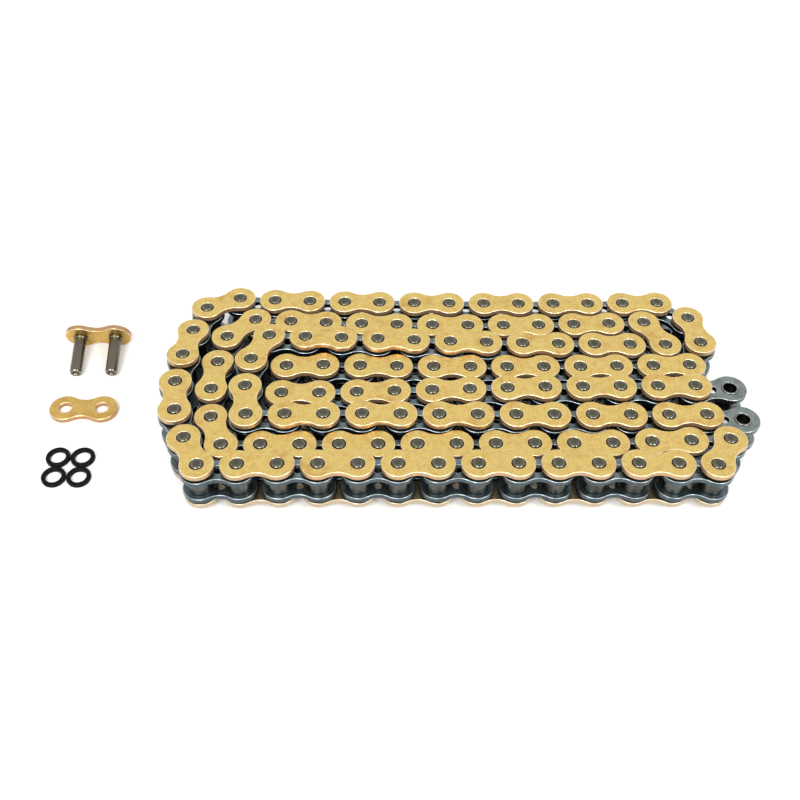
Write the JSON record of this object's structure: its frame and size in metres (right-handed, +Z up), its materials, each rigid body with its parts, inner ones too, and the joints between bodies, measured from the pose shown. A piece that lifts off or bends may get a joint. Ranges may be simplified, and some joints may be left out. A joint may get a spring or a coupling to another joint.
{
  "type": "motorcycle drive chain",
  "caption": "Sealed roller chain folded into a flat hank with gold outer plates, two free end links and a loose connecting-link set: side plate with pins, cover plate and sealing rings.",
  "frame": {"origin": "centre of the footprint at the ground, under the hank and its loose set", "axes": "+X along the rows of the hank, away from the loose set; +Y towards the back row; +Z up, along the pins"},
  "size_m": [0.3042, 0.1158, 0.0251],
  "materials": {
    "gold_strand": "gold-plated steel plates with grey rollers and pins",
    "gold_plate": "gold-plated steel",
    "grey_plate": "shot-peened steel",
    "bush": "ground steel",
    "roller": "hardened steel, oiled",
    "pin": "hardened steel, oiled",
    "seal": "black rubber"
  },
  "bodies": {
    "hank": {"row_5": "gold_strand", "left_turn_5_4": "gold_strand", "row_4": "gold_strand", "outer_right_turn": "gold_strand", "row_1": "gold_strand", "column_1": "gold_strand", "row_8": "gold_strand", "right_turn_8_7": "gold_strand", "row_7": "gold_strand", "column_2": "gold_strand", "row_2": "gold_strand", "right_turn_2_3": "gold_strand", "row_3": "gold_strand", "column_3": "gold_strand", "row_6": "gold_strand", "link_a_plate_lower": "gold_plate", "link_a_plate_upper": "gold_plate", "link_a_pin_1": "pin", "link_a_pin_2": "pin", "link_a_seal_lower_1": "seal", "link_a_seal_upper_1": "seal", "link_a_seal_lower_2": "seal", "link_a_seal_upper_2": "seal", "link_b_plate_lower": "gold_plate", "link_b_plate_upper": "gold_plate", "link_b_pin_1": "pin", "link_b_pin_2": "pin", "link_b_seal_lower_1": "seal", "link_b_seal_upper_1": "seal", "link_b_seal_lower_2": "seal", "link_b_seal_upper_2": "seal"},
    "end_link_a": {"end_a_plate_lower": "grey_plate", "end_a_plate_upper": "grey_plate", "end_a_bush_joint": "bush", "end_a_bush_free": "bush"},
    "end_link_b": {"end_b_plate_lower": "grey_plate", "end_b_plate_upper": "grey_plate", "end_b_bush_joint": "bush", "end_b_bush_free": "bush"},
    "roller_a_joint": {"end_a_roller_joint": "roller"},
    "roller_a_free": {"end_a_roller_free": "roller"},
    "roller_b_joint": {"end_b_roller_joint": "roller"},
    "roller_b_free": {"end_b_roller_free": "roller"},
    "front_roller_1": {"front_roller_1": "roller"},
    "front_roller_2": {"front_roller_2": "roller"},
    "front_roller_3": {"front_roller_3": "roller"},
    "front_roller_4": {"front_roller_4": "roller"},
    "front_roller_5": {"front_roller_5": "roller"},
    "front_roller_6": {"front_roller_6": "roller"},
    "front_roller_7": {"front_roller_7": "roller"},
    "front_roller_8": {"front_roller_8": "roller"},
    "front_roller_9": {"front_roller_9": "roller"},
    "connecting_link": {"connecting_side_plate": "gold_plate", "connecting_pin_1": "pin", "connecting_pin_2": "pin"},
    "cover_plate": {"cover_plate": "gold_plate"},
    "seal_ring_1": {"seal_ring_1": "seal"},
    "seal_ring_2": {"seal_ring_2": "seal"},
    "seal_ring_3": {"seal_ring_3": "seal"},
    "seal_ring_4": {"seal_ring_4": "seal"}
  },
  "joints": [
    {"name": "end_link_a_hinge", "type": "hinge", "parent": "hank", "child": "end_link_a", "pos_m": [0.12616, -0.00391, 0.01395], "axis": [0, 0, 1], "range_deg": [-4, 20]},
    {"name": "end_link_b_hinge", "type": "hinge", "parent": "hank", "child": "end_link_b", "pos_m": [0.12894, -0.01849, 0.01215], "axis": [0, 0, 1], "range_deg": [-6, 4]},
    {"name": "roller_a_joint_spin", "type": "hinge", "parent": "end_link_a", "child": "roller_a_joint", "pos_m": [0.12616, -0.00391, 0.01395], "axis": [0, 0, 1], "continuous": true},
    {"name": "roller_a_free_spin", "type": "hinge", "parent": "end_link_a", "child": "roller_a_free", "pos_m": [0.14192, -0.00197, 0.01395], "axis": [0, 0, 1], "continuous": true},
    {"name": "roller_b_joint_spin", "type": "hinge", "parent": "end_link_b", "child": "roller_b_joint", "pos_m": [0.12894, -0.01849, 0.01215], "axis": [0, 0, 1], "continuous": true},
    {"name": "roller_b_free_spin", "type": "hinge", "parent": "end_link_b", "child": "roller_b_free", "pos_m": [0.14481, -0.01793, 0.01215], "axis": [0, 0, 1], "continuous": true},
    {"name": "front_roller_1_spin", "type": "hinge", "parent": "hank", "child": "front_roller_1", "pos_m": [-0.03044, -0.04948, 0.01395], "axis": [0, 0, 1], "continuous": true},
    {"name": "front_roller_2_spin", "type": "hinge", "parent": "hank", "child": "front_roller_2", "pos_m": [-0.01457, -0.04911, 0.01395], "axis": [0, 0, 1], "continuous": true},
    {"name": "front_roller_3_spin", "type": "hinge", "parent": "hank", "child": "front_roller_3", "pos_m": [0.0013, -0.04874, 0.01395], "axis": [0, 0, 1], "continuous": true},
    {"name": "front_roller_4_spin", "type": "hinge", "parent": "hank", "child": "front_roller_4", "pos_m": [0.01717, -0.04837, 0.01395], "axis": [0, 0, 1], "continuous": true},
    {"name": "front_roller_5_spin", "type": "hinge", "parent": "hank", "child": "front_roller_5", "pos_m": [0.03304, -0.04801, 0.01395], "axis": [0, 0, 1], "continuous": true},
    {"name": "front_roller_6_spin", "type": "hinge", "parent": "hank", "child": "front_roller_6", "pos_m": [0.04891, -0.04766, 0.01395], "axis": [0, 0, 1], "continuous": true},
    {"name": "front_roller_7_spin", "type": "hinge", "parent": "hank", "child": "front_roller_7", "pos_m": [0.06478, -0.04731, 0.01395], "axis": [0, 0, 1], "continuous": true},
    {"name": "front_roller_8_spin", "type": "hinge", "parent": "hank", "child": "front_roller_8", "pos_m": [0.08065, -0.04696, 0.01395], "axis": [0, 0, 1], "continuous": true},
    {"name": "front_roller_9_spin", "type": "hinge", "parent": "hank", "child": "front_roller_9", "pos_m": [0.09652, -0.04662, 0.01395], "axis": [0, 0, 1], "continuous": true},
    {"name": "connecting_link_lift", "type": "slide", "parent": "hank", "child": "connecting_link", "axis": [0, 0, 1], "range_m": [0, 0.05]},
    {"name": "cover_plate_lift", "type": "slide", "parent": "hank", "child": "cover_plate", "axis": [0, 0, 1], "range_m": [0, 0.05]},
    {"name": "seal_ring_1_lift", "type": "slide", "parent": "hank", "child": "seal_ring_1", "axis": [0, 0, 1], "range_m": [0, 0.05]},
    {"name": "seal_ring_2_lift", "type": "slide", "parent": "hank", "child": "seal_ring_2", "axis": [0, 0, 1], "range_m": [0, 0.05]},
    {"name": "seal_ring_3_lift", "type": "slide", "parent": "hank", "child": "seal_ring_3", "axis": [0, 0, 1], "range_m": [0, 0.05]},
    {"name": "seal_ring_4_lift", "type": "slide", "parent": "hank", "child": "seal_ring_4", "axis": [0, 0, 1], "range_m": [0, 0.05]}
  ]
}
